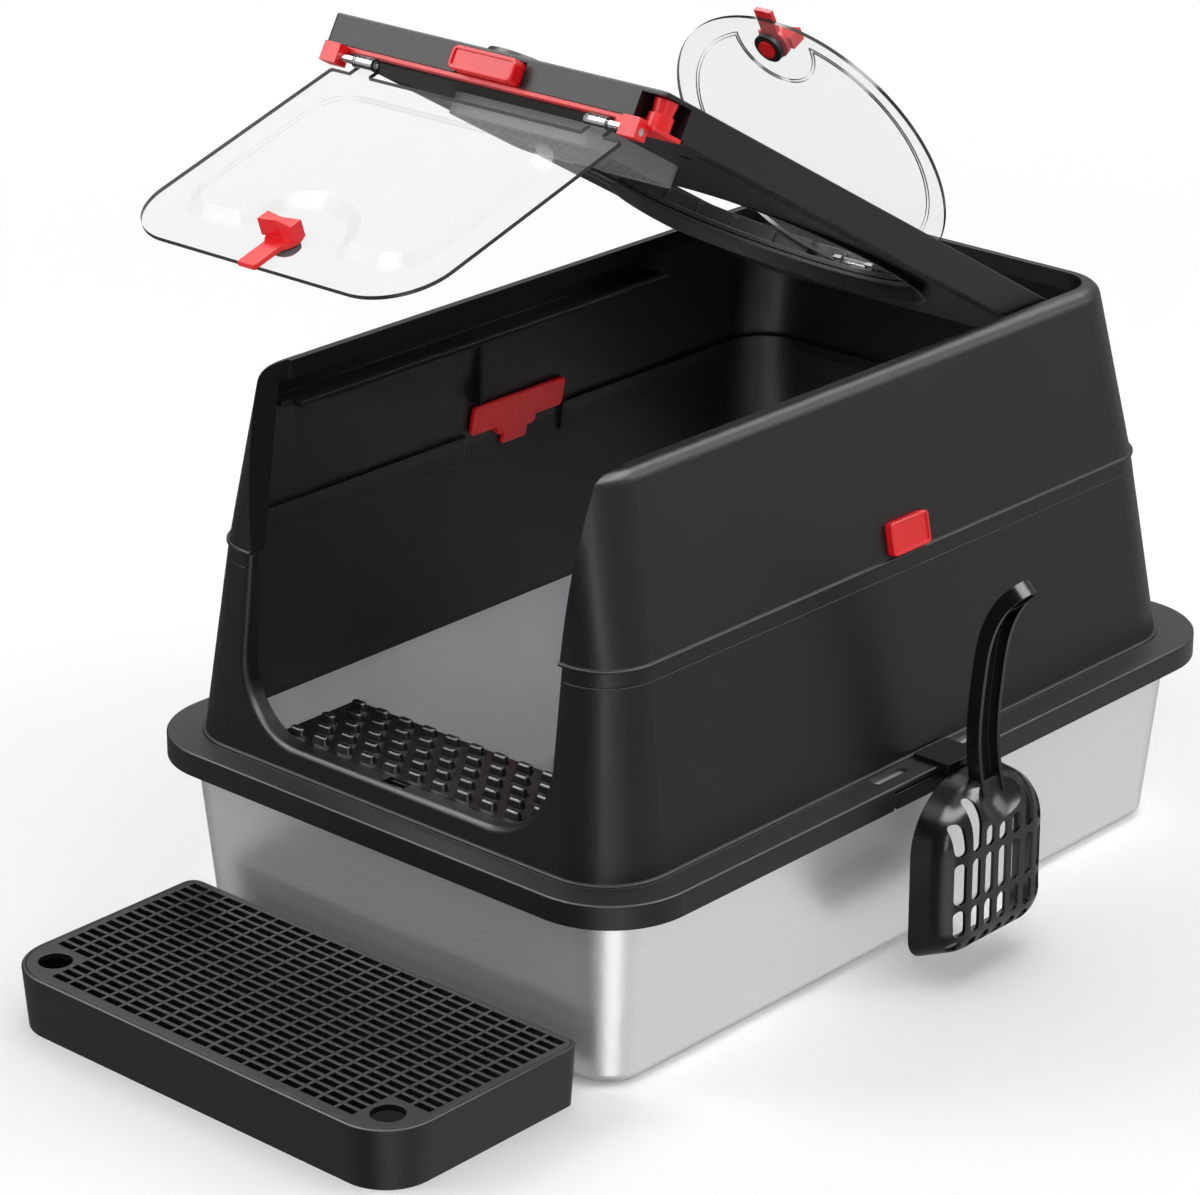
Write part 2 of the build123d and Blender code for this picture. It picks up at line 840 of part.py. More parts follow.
# Lid: top skin with rails, round recess with posts, button window, corner recess
lid_length = lid_reach + lid_tail
lid_middle = (lid_tail - lid_reach) / 2
carrier_bottom = lid_front_bottom - carrier_height
lug_outer_half = disc_knuckle_half + slide_play + disc_lug_sheet
disc_lug_half = disc_knuckle_radius
boss_middle = button_boss_radius - lid_reach + button_boss_set
housing_half = button_width / 2 + button_flange + slide_play + lid_wall
housing_hollow = button_depth + button_travel + slide_play - lid_wall
housing_depth = housing_hollow + 2 * lid_wall - lid_border
corner_block_width = lid_half_width - corner_inner + corner_sheet
corner_block_depth = corner_depth + corner_sheet


def lid_shape(sketch, inset, front_corner):
    with Locations((0, lid_middle)):
        Rectangle(2 * (lid_half_width - inset), lid_length - 2 * inset)
    fillet(sketch.vertices().group_by(Axis.Y)[0], front_corner)
    fillet(sketch.vertices().group_by(Axis.Y)[-1], lid_rear_corner - inset)


with BuildPart() as lid_frame:
    with BuildSketch(lid_plane.offset(lid_bottom)) as lid_outer:
        lid_shape(lid_outer, 0, lid_front_corner)
    extrude(amount=lid_depth)
    fillet(lid_frame.faces().sort_by(lid_axis)[-1].edges(), lid_edge_round)
    with BuildSketch(lid_plane.offset(panel_top)) as lid_panel:
        lid_shape(lid_panel, lid_border, lid_front_corner)
        with Locations((0, lid_border - lid_reach)):
            Rectangle(2 * housing_half, housing_depth, align=(Align.CENTER, Align.MIN), mode=Mode.SUBTRACT)
        for side in (-1, 1):
            with Locations((side * lid_half_width, -lid_reach)):
                Rectangle(2 * corner_block_width, 2 * corner_block_depth, mode=Mode.SUBTRACT)
        with Locations((0, boss_middle)):
            Circle(button_boss_radius, mode=Mode.SUBTRACT)
    extrude(amount=lid_panel_drop, mode=Mode.SUBTRACT)
    with BuildSketch(lid_plane.offset(lid_bottom)) as lid_inner:
        lid_shape(lid_inner, lid_wall, lid_front_corner - lid_wall)
    extrude(amount=panel_top - lid_skin - lid_bottom, mode=Mode.SUBTRACT)
    with BuildSketch(lid_plane.offset(lid_bottom)):
        with Locations((0, lid_wall - lid_reach)):
            Rectangle(2 * (housing_half - lid_wall), housing_hollow, align=(Align.CENTER, Align.MIN))
    extrude(amount=lid_depth - lid_skin, mode=Mode.SUBTRACT)
    with BuildSketch(lid_plane.offset(recess_bottom)):
        with Locations((0, opening_y)):
            Circle(recess_radius + lid_wall)
        with Locations((0, disc_axis_y + disc_pocket_back + lid_wall)):
            Rectangle(2 * (disc_pocket_half + lid_wall), disc_radius, align=(Align.CENTER, Align.MAX))
    extrude(amount=panel_top - recess_bottom)
    with BuildSketch(lid_plane.offset(recess_floor)):
        with Locations((0, opening_y)):
            Circle(recess_radius)
    extrude(amount=recess_depth, mode=Mode.SUBTRACT)
    with BuildSketch(lid_plane.offset(recess_floor)):
        with Locations((0, opening_y)):
            with PolarLocations(recess_radius - post_reach / 2 + held_fit, post_count):
                Rectangle(post_reach, post_width)
    extrude(amount=recess_depth - post_drop)
    with BuildSketch(lid_plane.offset(recess_bottom)):
        with Locations((0, opening_y)):
            Circle(opening_radius)
    extrude(amount=recess_sheet, mode=Mode.SUBTRACT)
    with BuildSketch(lid_plane.offset(recess_floor)):
        with Locations((0, disc_axis_y + disc_pocket_back)):
            Rectangle(2 * disc_pocket_half, disc_radius, align=(Align.CENTER, Align.MAX))
    extrude(amount=recess_depth, mode=Mode.SUBTRACT)
    with BuildSketch(lid_plane.offset(recess_floor)):
        for side in (-1, 1):
            with Locations((side * (lug_outer_half - disc_lug_sheet / 2), disc_axis_y)):
                Rectangle(disc_lug_sheet, 2 * disc_lug_half)
    extrude(amount=disc_axis_z - recess_floor + disc_lug_half)
    with BuildSketch(lid_plane.offset(recess_bottom)):
        with Locations((0, disc_axis_y)):
            Rectangle(2 * (disc_knuckle_half + slide_play), 2 * (disc_lug_half + slide_play))
    extrude(amount=recess_sheet, mode=Mode.SUBTRACT)
    with BuildSketch(across(lid_plane, -lug_outer_half, disc_axis_y, disc_axis_z)):
        Circle(disc_pin_radius + held_fit)
    extrude(amount=2 * lug_outer_half, mode=Mode.SUBTRACT)
    for side in (-1, 1):
        with BuildSketch(across(lid_plane, side * lid_half_width, 0, rail_boss_low)):
            Rectangle(rail_boss_depth, lid_top - lid_skin - rail_boss_low, align=(Align.CENTER, Align.MIN))
        extrude(amount=-side * rail_boss_reach)
    with BuildSketch(across(lid_plane, -lid_half_width, 0, 0)):
        Circle(hinge_pin_radius + held_fit)
    extrude(amount=2 * lid_half_width, mode=Mode.SUBTRACT)
    with BuildSketch(lid_plane.offset(lid_bottom)):
        with Locations((0, -lid_reach)):
            Rectangle(2 * lid_half_width, carrier_depth + lid_wall, align=(Align.CENTER, Align.MIN))
    extrude(amount=lid_front_bottom - lid_bottom, mode=Mode.SUBTRACT)
    with BuildSketch(lid_plane.offset(lid_bottom)):
        with Locations((0, -lid_reach)):
            Rectangle(button_width + 2 * slide_play, 2 * lid_wall, align=(Align.CENTER, Align.CENTER))
    extrude(amount=lid_depth - button_drop + slide_play, mode=Mode.SUBTRACT)
    with BuildSketch(lid_plane.offset(lid_top)):
        with Locations((0, boss_middle)):
            Circle(button_boss_radius)
    extrude(amount=button_boss_height, taper=button_boss_draft)
    with BuildSketch(lid_plane.offset(carrier_bottom + seat_play)):
        with Locations((corner_inner - corner_sheet, -lid_reach)):
            Rectangle(corner_block_width, corner_block_depth, align=(Align.MIN, Align.MIN))
    extrude(amount=lid_top - lid_skin - carrier_bottom - seat_play)
    with BuildSketch(lid_plane.offset(lid_bottom)):
        with Locations((corner_inner, -lid_reach)):
            Rectangle(lid_half_width - corner_inner, corner_depth, align=(Align.MIN, Align.MIN))
    extrude(amount=lid_depth - lid_skin, mode=Mode.SUBTRACT)
    with BuildSketch(lid_plane.offset(lid_bottom)):
        with Locations((corner_inner, -lid_reach)):
            Rectangle(lid_half_width, corner_block_depth, align=(Align.MIN, Align.MIN))
    extrude(amount=carrier_bottom + seat_play - lid_bottom, mode=Mode.SUBTRACT)
keep(lid_frame, "lid_frame")

with BuildPart() as lid_hinge_pins:
    for side in (-1, 1):
        with BuildSketch(across(lid_plane, side * (lid_half_width - rail_boss_reach + seat_play), 0, 0)):
            Circle(hinge_pin_radius)
        extrude(amount=side * (boss_outer - boss_land - lid_half_width + rail_boss_reach - 2 * seat_play))
keep(lid_hinge_pins, "lid_hinge_pins")

# Underside panel of the lid with the flared collar of the round opening
base_inner = knuckle_outer + base_play
liner_half_width = lid_half_width - lid_wall - slide_play
liner_rear = lid_tail - lid_wall - slide_play
liner_length = liner_rear - liner_front + lid_reach
collar_top_radius = opening_radius + collar_play
collar_low = lid_top - collar_drop
liner_top = lid_bottom + liner_sheet
groove_length = lid_reach - groove_front - groove_rear
groove_first = liner_half_width - groove_side - groove_pitch * (groove_count - 1)
with BuildPart() as lid_liner:
    with BuildSketch(lid_plane.offset(lid_bottom)) as liner_sketch:
        with Locations((0, liner_front - lid_reach)):
            Rectangle(2 * liner_half_width, liner_length, align=(Align.CENTER, Align.MIN))
        fillet(liner_sketch.vertices().group_by(Axis.Y)[-1], lid_rear_corner - lid_wall)
        with Locations((base_inner - slide_play, -lid_reach)):
            Rectangle(
                lid_half_width,
                corner_block_depth + slide_play,
                align=(Align.MIN, Align.MIN),
                mode=Mode.SUBTRACT,
            )
        with Locations((0, opening_y)):
            Circle(collar_top_radius, mode=Mode.SUBTRACT)
        with Locations((0, (filter_front + filter_rear) / 2 - lid_reach)):
            Rectangle(
                2 * (filter_half_width + slide_play),
                filter_rear - filter_front + 2 * slide_play,
                mode=Mode.SUBTRACT,
            )
        with Locations((liner_window_x, liner_window_back - lid_reach)):
            Rectangle(liner_window_size, liner_window_size, mode=Mode.SUBTRACT)
    extrude(amount=liner_sheet)
    with BuildSketch(facing_front(lid_plane, opening_y)):
        with BuildLine():
            Polyline(
                (collar_top_radius, liner_top),
                (collar_top_radius + collar_sheet, liner_top),
                (collar_top_radius + collar_sheet + collar_flare, collar_low),
                (collar_top_radius + collar_flare, collar_low),
                close=True,
            )
        make_face()
    revolve(axis=Axis(lid_plane.from_local_coords(Vector(0, opening_y, 0)), lid_plane.z_dir))
    collar_front = collar_top_radius + collar_sheet
    with BuildSketch(across(lid_plane, -lid_half_width, opening_y, 0)):
        with BuildLine():
            Polyline(
                (-2 * collar_front, lid_bottom),
                (-collar_front, lid_bottom),
                (collar_full_back, collar_low),
                (collar_full_back, 2 * collar_low),
                (-2 * collar_front, 2 * collar_low),
                close=True,
            )
        make_face()
    extrude(amount=2 * lid_half_width, mode=Mode.SUBTRACT)
    with BuildSketch(lid_plane.offset(lid_bottom)):
        for side in (-1, 1):
            for step in range(groove_count):
                with Locations((side * (groove_first + step * groove_pitch), groove_front - lid_reach)):
                    Rectangle(groove_pitch / 2, groove_length, align=(Align.CENTER, Align.MIN))
    extrude(amount=liner_sheet / 2, mode=Mode.SUBTRACT)
keep(lid_liner, "lid_liner")

# Filter pad, its mesh tray and the clear clip that holds the tray
filter_middle = (filter_front + filter_rear) / 2 - lid_reach
filter_length = filter_rear - filter_front
cover_length = filter_length + 2 * cover_margin
cover_bottom = lid_bottom - cover_depth
pad_bottom = cover_bottom + cover_sheet + seat_play
mesh_columns = int(2 * filter_half_width / mesh_pitch)
mesh_rows = int(filter_length / mesh_pitch)
with BuildPart() as carbon_filter:
    with BuildSketch(lid_plane.offset(pad_bottom)):
        with Locations((0, filter_middle)):
            RectangleRounded(2 * filter_half_width, filter_length, cover_margin)
    extrude(amount=liner_top - pad_bottom)
keep(carbon_filter, "carbon_filter")

with BuildPart() as filter_cover:
    with BuildSketch(lid_plane.offset(cover_bottom)):
        with Locations((0, filter_middle)):
            RectangleRounded(2 * (filter_half_width + cover_margin), cover_length, 2 * cover_margin)
    extrude(amount=cover_depth)
    with BuildSketch(lid_plane.offset(cover_bottom + cover_sheet)):
        with Locations((0, filter_middle)):
            RectangleRounded(
                2 * (filter_half_width + slide_play),
                filter_length + 2 * slide_play,
                cover_margin + slide_play,
            )
    extrude(amount=cover_depth, mode=Mode.SUBTRACT)
    with BuildSketch(lid_plane.offset(cover_bottom)):
        with Locations((0, filter_middle)):
            with GridLocations(mesh_pitch, mesh_pitch, mesh_columns, mesh_rows):
                Rectangle(mesh_gap, mesh_gap)
    extrude(amount=cover_sheet, mode=Mode.SUBTRACT)
keep(filter_cover, "filter_cover")

clip_under = cover_bottom - clip_sheet
clip_start = filter_middle + cover_length / 2
with BuildPart() as filter_clip:
    with BuildSketch(across(lid_plane, clip_place - clip_width / 2, clip_start, clip_under)):
        with BuildLine():
            Polyline(
                (-cover_margin, 0),
                (clip_reach, 0),
                (clip_reach, clip_sheet),
                (clip_sheet, clip_sheet),
                (clip_sheet, cover_depth + clip_sheet),
                (0, cover_depth + clip_sheet),
                (0, clip_sheet),
                (-cover_margin, clip_sheet),
                close=True,
            )
        make_face()
    extrude(amount=clip_width)
keep(filter_clip, "filter_clip")

# Release button in the lid front
button_low = lid_front_bottom + slide_play
button_high = lid_top - button_drop
button_height = button_high - button_low
button_middle = (button_low + button_high) / 2
with BuildPart() as lid_release_button:
    with BuildSketch(facing_front(lid_plane, button_depth - lid_reach)):
        with Locations((0, button_middle)):
            RectangleRounded(button_width, button_height, button_corner)
    extrude(amount=button_depth + button_proud)
    fillet(lid_release_button.faces().sort_by(lid_length_axis)[0].edges(), button_edge_round)
    with BuildSketch(facing_front(lid_plane, -lid_reach - button_proud + button_dish)):
        with Locations((0, button_middle)):
            RectangleRounded(
                button_width - 2 * button_border,
                button_height - 2 * button_border,
                button_corner - button_border,
            )
    extrude(amount=button_dish, mode=Mode.SUBTRACT)
    with BuildSketch(facing_front(lid_plane, lid_wall + slide_play + button_flange - lid_reach)):
        with Locations((0, button_low)):
            Rectangle(
                button_width + 2 * button_flange,
                button_height - lid_skin,
                align=(Align.CENTER, Align.MIN),
            )
    extrude(amount=button_flange)
keep(lid_release_button, "lid_release_button")

# Flap carrier: bar under the lid front, two ears and the knob base
bar_end = corner_inner - corner_sheet - slide_play
knob_x = (corner_inner + lid_half_width) / 2
knob_y = corner_depth / 2 - lid_reach
with BuildPart() as flap_hinge_carrier:
    with BuildSketch(lid_plane.offset(carrier_bottom)):
        with Locations((-carrier_end, bar_front - lid_reach)):
            Rectangle(carrier_end + bar_end, carrier_depth, align=(Align.MIN, Align.MIN))
    extrude(amount=carrier_height)
    with BuildSketch(lid_plane.offset(carrier_bottom - corner_sheet)):
        with Locations((base_inner, -lid_reach)):
            Rectangle(lid_half_width - base_inner, corner_depth, align=(Align.MIN, Align.MIN))
    extrude(amount=corner_sheet)
    for side in (-1, 1):
        with BuildSketch(across(lid_plane, side * ear_place - ear_width / 2, -lid_reach, 0)):
            with BuildLine():
                Polyline(
                    (ear_front, lid_top - ear_drop),
                    (ear_rear, lid_top - ear_drop),
                    (ear_rear, carrier_bottom),
                    (-bar_front, carrier_bottom),
                    (-bar_front, carrier_bottom + carrier_height - bar_front),
                    (ear_front, carrier_bottom + carrier_height - bar_front),
                    close=True,
                )
            make_face()
        extrude(amount=ear_width)
    with BuildSketch(across(lid_plane, -lid_half_width, flap_axis_y, flap_axis_z)):
        Circle(flap_pin_radius + held_fit)
    extrude(amount=2 * lid_half_width, mode=Mode.SUBTRACT)
    with BuildSketch(lid_plane.offset(carrier_bottom - corner_sheet)):
        with Locations((knob_x, knob_y)):
            Circle(knob_stem_radius + running_fit)
    extrude(amount=corner_sheet, mode=Mode.SUBTRACT)
keep(flap_hinge_carrier, "flap_hinge_carrier")

flap_pin_outer = ear_place + ear_width / 2 - seat_play
with BuildPart() as flap_hinge_pins:
    for side in (-1, 1):
        with BuildSketch(across(lid_plane, side * flap_pin_inner, flap_axis_y, flap_axis_z)):
            Circle(flap_pin_radius)
        extrude(amount=side * (flap_pin_outer - flap_pin_inner))
keep(flap_hinge_pins, "flap_hinge_pins")

# Corner lock knob: two stacked drums on a stem in the carrier base
knob_low = carrier_bottom + seat_play
knob_high = lid_top - lid_skin - slide_play
knob_half = (knob_high - knob_low) / 2
with BuildPart() as corner_lock_knob:
    with BuildSketch(lid_plane.offset(carrier_bottom - corner_sheet)):
        with Locations((knob_x, knob_y)):
            Circle(knob_stem_radius)
    extrude(amount=corner_sheet + 2 * seat_play)
    with BuildSketch(lid_plane.offset(knob_low)):
        with Locations((knob_x, knob_y)):
            Circle(knob_radius)
    extrude(amount=knob_half)
    with BuildSketch(lid_plane.offset(knob_low + knob_half)):
        with Locations((knob_x, knob_y)):
            Ellipse(knob_radius - knob_taper, knob_waist)
    with BuildSketch(lid_plane.offset(knob_high)):
        with Locations((knob_x, knob_y)):
            Ellipse(knob_radius, knob_radius - knob_taper)
    loft()
keep(corner_lock_knob, "corner_lock_knob")

# Front flap: clear plate with an embossed panel, straps and knuckles
flap_top = -flap_below_axis
flap_under = flap_top - flap_sheet
flap_far = flap_near + flap_length


def flap_panel(sketch):
    with Locations((0, -flap_panel_far)):
        Rectangle(
            2 * flap_panel_half_width, flap_panel_far - flap_panel_near, align=(Align.CENTER, Align.MIN)
        )
    fillet(sketch.vertices(), flap_panel_corner)
    with Locations((0, -flap_latch_place)):
        Circle(latch_bay_radius, mode=Mode.SUBTRACT)
    fillet(sketch.vertices().filter_by(lambda point: abs(point.X) <= latch_bay_radius), latch_bay_round)


with BuildPart() as front_flap:
    with BuildSketch(flap_plane.offset(flap_under)) as flap_sketch:
        with Locations((0, -flap_far)):
            Rectangle(2 * flap_half_width, flap_length, align=(Align.CENTER, Align.MIN))
        fillet(flap_sketch.vertices().group_by(Axis.Y)[0], flap_corner)
        fillet(flap_sketch.vertices().group_by(Axis.Y)[-1], flap_near_corner)
    extrude(amount=flap_sheet)
    with BuildSketch(flap_plane.offset(flap_top)) as panel_over:
        flap_panel(panel_over)
    extrude(amount=flap_emboss, taper=flap_draft)
    with BuildSketch(flap_plane.offset(flap_under)) as panel_under:
        flap_panel(panel_under)
    extrude(amount=flap_emboss, taper=flap_draft, mode=Mode.SUBTRACT)
    for side in (-1, 1):
        strap_middle = side * (knuckle_inner + knuckle_outer) / 2
        with BuildSketch(flap_plane.offset(flap_under)):
            with Locations((strap_middle, -flap_near - strap_overlap)):
                Rectangle(
                    knuckle_outer - knuckle_inner,
                    flap_near + strap_overlap + strap_reach,
                    align=(Align.CENTER, Align.MIN),
                )
        extrude(amount=flap_sheet)
        with BuildSketch(across(flap_plane, side * knuckle_inner, 0, 0)):
            Circle(knuckle_radius)
        extrude(amount=side * (knuckle_outer - knuckle_inner))
    with BuildSketch(across(flap_plane, -flap_half_width, 0, 0)):
        Circle(flap_pin_radius + running_fit)
    extrude(amount=2 * flap_half_width, mode=Mode.SUBTRACT)
    with BuildSketch(flap_plane.offset(flap_under)):
        with Locations((0, -flap_latch_place)):
            Circle(latch_stem_radius + running_fit)
    extrude(amount=flap_sheet, mode=Mode.SUBTRACT)
keep(front_flap, "front_flap")

# Round flap: clear disc with an embossed line, a knuckle and a latch hole
disc_middle = -disc_radius - disc_set
disc_latch = disc_middle - disc_radius + disc_latch_inset
bead_radius = disc_radius - disc_bead_inset
disc_bay = disc_tongue_reach + disc_bay_play
with BuildPart() as top_flap:
    with BuildSketch(disc_plane.offset(-disc_sheet)):
        with Locations((0, disc_middle)):
            Circle(disc_radius)
        for side in (-1, 1):
            with Locations((side * (disc_knuckle_half + lug_outer_half + slide_play) / 2, -disc_relief)):
                Rectangle(
                    lug_outer_half + slide_play - disc_knuckle_half,
                    2 * disc_relief,
                    align=(Align.CENTER, Align.MIN),
                    mode=Mode.SUBTRACT,
                )
    extrude(amount=disc_sheet)
    with BuildSketch(disc_plane):
        with Locations((0, disc_middle)):
            Circle(bead_radius)
        with Locations((0, disc_latch)):
            Circle(disc_bay, mode=Mode.SUBTRACT)
        with Locations((0, disc_middle)):
            Circle(bead_radius - disc_bead_width, mode=Mode.SUBTRACT)
    extrude(amount=disc_bead_height)
    with BuildSketch(disc_plane):
        with Locations((0, disc_latch)):
            Circle(disc_bay + disc_bead_width)
            Circle(disc_bay, mode=Mode.SUBTRACT)
        with Locations((0, disc_middle)):
            Circle(bead_radius, mode=Mode.INTERSECT)
    extrude(amount=disc_bead_height)
    with BuildSketch(across(disc_plane, -disc_knuckle_half, 0, 0)):
        Circle(disc_knuckle_radius)
    extrude(amount=2 * disc_knuckle_half)
    with BuildSketch(across(disc_plane, -disc_knuckle_half, 0, 0)):
        Circle(disc_pin_radius + running_fit)
    extrude(amount=2 * disc_knuckle_half, mode=Mode.SUBTRACT)
    with BuildSketch(disc_plane.offset(-disc_sheet)):
        with Locations((0, disc_latch)):
            Circle(latch_stem_radius + running_fit)
    extrude(amount=disc_sheet, mode=Mode.SUBTRACT)
keep(top_flap, "top_flap")

with BuildPart() as top_flap_hinge_pin:
    with BuildSketch(across(disc_plane, -lug_outer_half, 0, 0)):
        Circle(disc_pin_radius)
    extrude(amount=2 * lug_outer_half)
keep(top_flap_hinge_pin, "top_flap_hinge_pin")


# Turn latches: finger wing, tongue and stem in one piece, a hub ring below
def latch_solid(frame, place, top, reach):
    base = frame.offset(top + seat_play)
    with BuildPart() as latch:
        with BuildSketch(base):
            with Locations((0, place)):
                Circle(latch_base_radius)
                Rectangle(latch_tongue_width, reach, align=(Align.CENTER, Align.MAX))
        extrude(amount=latch_base_height)
        with BuildSketch(base.offset(latch_base_height)):
            with BuildLine():
                Polyline(
                    (-latch_wing_length / 2, place - latch_wing_width / 2),
                    (0, place - latch_wing_width / 4),
                    (latch_wing_length / 2, place - latch_wing_width / 2),
                    (latch_wing_length / 2, place + latch_wing_width / 2),
                    (0, place + latch_wing_width / 4),
                    (-latch_wing_length / 2, place + latch_wing_width / 2),
                    close=True,
                )
            make_face()
        extrude(amount=latch_wing_height)
        fillet(latch.faces().sort_by(Axis(frame.origin, frame.z_dir))[-1].edges(), latch_edge_round)
        stem_drop = flap_sheet + 2 * seat_play + latch_hub_height
        with BuildSketch(base.offset(-stem_drop)):
            with Locations((0, place)):
                Circle(latch_stem_radius)
        extrude(amount=stem_drop)
        with BuildSketch(base.offset(-stem_drop - latch_base_height / 2)):
            with Locations((0, place)):
                Circle(latch_cap_radius)
        extrude(amount=latch_base_height / 2)
    return latch


def hub_solid(frame, place, under, radius):
    with BuildPart() as hub:
        with BuildSketch(frame.offset(under - seat_play - latch_hub_height)):
            with Locations((0, place)):
                Circle(radius)
                Circle(latch_stem_radius + held_fit, mode=Mode.SUBTRACT)
        extrude(amount=latch_hub_height)
    return hub


front_flap_latch = latch_solid(flap_plane, -flap_latch_place, flap_top, flap_tongue_reach)
keep(front_flap_latch, "front_flap_latch")
front_flap_latch_hub = hub_solid(flap_plane, -flap_latch_place, flap_under, front_hub_radius)
keep(front_flap_latch_hub, "front_flap_latch_hub")
top_flap_latch = latch_solid(disc_plane, disc_latch, 0, disc_tongue_reach)
keep(top_flap_latch, "top_flap_latch")
top_flap_latch_hub = hub_solid(disc_plane, disc_latch, -disc_sheet, top_hub_radius)
keep(top_flap_latch_hub, "top_flap_latch_hub")

# Step: hollow base with a ledge, and the slotted grate that lifts out
step_middle_y = step_front + step_depth / 2
grate_inset = step_wall + slide_play
grate_bottom = step_height - grate_sheet


def step_shape(sketch, inset):
    with Locations((step_x, step_middle_y)):
        Rectangle(step_width - 2 * inset, step_depth - 2 * inset)
    fillet(sketch.vertices().group_by(Axis.Y)[0], step_front_corner - inset)
    fillet(sketch.vertices().group_by(Axis.Y)[-1], max(step_back_corner - inset, step_inner_corner))


with BuildPart() as step_hollow:
    with BuildSketch(Plane.XY.offset(step_wall)) as hollow_low:
        step_shape(hollow_low, step_wall + grate_ledge)
    extrude(amount=step_height)
    with BuildSketch(Plane.XY.offset(grate_bottom)) as hollow_high:
        step_shape(hollow_high, step_wall)
    extrude(amount=grate_sheet)

with BuildPart() as step_base:
    with BuildSketch(Plane.XY) as step_low:
        step_shape(step_low, step_draft)
    with BuildSketch(Plane.XY.offset(step_height)) as step_high:
        step_shape(step_high, 0)
    loft()
    fillet(step_base.faces().sort_by(Axis.Z)[-1].edges(), step_edge_round)
    add(step_hollow.part, mode=Mode.SUBTRACT)
keep(step_base, "step_base")

finger_places = [
    (step_x + side * (step_width / 2 - finger_side), step_front + finger_front) for side in (-1, 1)
]
cell_places = [
    (
        step_x + (column - (cell_columns - 1) / 2) * cell_pitch_x,
        step_middle_y + cell_shift + (row - (cell_rows - 1) / 2) * cell_pitch_y,
    )
    for column in range(cell_columns)
    for row in range(cell_rows)
]
finger_clear = finger_radius + cell_length / 2
open_cells = [
    place
    for place in cell_places
    if all(hypot(place[0] - hole[0], place[1] - hole[1]) > finger_clear for hole in finger_places)
]
with BuildPart() as step_grate:
    with BuildSketch(Plane.XY.offset(grate_bottom)) as grate_sketch:
        step_shape(grate_sketch, grate_inset)
        with Locations(*open_cells):
            Rectangle(cell_length, cell_width, mode=Mode.SUBTRACT)
        with Locations(*finger_places):
            Circle(finger_radius, mode=Mode.SUBTRACT)
    extrude(amount=grate_sheet)
keep(step_grate, "step_grate")

# Scoop: slotted dish with a valley at the neck and a channel handle


def dish_shape(sketch, half_width, bottom, top, low_corner, top_corner):
    with Locations((scoop_y, bottom)):
        Rectangle(2 * half_width, top - bottom, align=(Align.CENTER, Align.MIN))
    fillet(sketch.vertices().group_by(Axis.Y)[0], low_corner)
    fillet(sketch.vertices().group_by(Axis.Y)[-1], top_corner)


def dish_solid(inset):
    with BuildPart() as dish:
        with BuildSketch(Plane.YZ.offset(scoop_rim_x)) as rim:
            dish_shape(
                rim,
                scoop_half_width - inset,
                scoop_bottom + inset,
                scoop_top - inset,
                scoop_low_corner - inset,
                scoop_top_corner - inset,
            )
        with BuildSketch(Plane.YZ.offset(scoop_back_x - inset)) as back:
            dish_shape(
                back,
                scoop_back_half_width - inset,
                scoop_back_bottom + inset,
                scoop_back_top - inset,
                scoop_back_low_corner - inset,
                scoop_back_corner - inset,
            )
        loft()
        fillet(dish.faces().sort_by(Axis.X)[-1].edges(), scoop_back_round - inset)
        with Locations((valley_x, scoop_y, valley_z)):
            Sphere(valley_radius + inset, mode=Mode.SUBTRACT)
    return dish


dish_hollow = dish_solid(scoop_sheet)
dish_body = dish_solid(0)
slot_columns = [
    scoop_y + (column - (scoop_slot_columns - 1) / 2) * scoop_slot_pitch
    for column in range(scoop_slot_columns)
]
neck_slots = [(y, *spec) for y, spec in zip(slot_columns, scoop_neck_slots)]
body_slots = [(y, *spec) for spec in scoop_slot_rows for y in slot_columns]

with BuildLine(Plane.XZ.offset(-scoop_y)) as handle_path:
    Spline(*handle_points)
handle_foot = Plane(handle_path.line @ 0, x_dir=(0, 1, 0), z_dir=handle_path.line % 0)
handle_back = (handle_path.line % 1).cross(Vector(0, 1, 0))
handle_tip = Plane(handle_path.line @ 1, x_dir=(0, 1, 0), z_dir=handle_back)

with BuildPart() as scoop:
    add(dish_body.part)
    add(dish_hollow.part, mode=Mode.SUBTRACT)
    with BuildSketch(Plane.YZ.offset(scoop_rim_x + scoop_sheet)):
        for y, z, length in neck_slots + body_slots:
            with Locations((y, z)):
                SlotOverall(length, scoop_slot_width, rotation=90)
    extrude(amount=2 * (scoop_back_x - scoop_rim_x), mode=Mode.SUBTRACT)
    with BuildSketch(handle_foot):
        Rectangle(handle_width, handle_depth)
        with Locations((0, -handle_wall)):
            Rectangle(handle_width - 2 * handle_wall, handle_depth, mode=Mode.SUBTRACT)
    sweep(path=handle_path.line)
    with BuildSketch(handle_tip.offset(-handle_depth / 2)):
        Circle(handle_width / 2)
    extrude(amount=handle_depth)
    with BuildSketch(handle_tip.offset(-handle_depth / 2)):
        Circle(handle_width / 2 - handle_wall)
    extrude(amount=handle_depth - handle_wall, mode=Mode.SUBTRACT)
keep(scoop, "scoop")

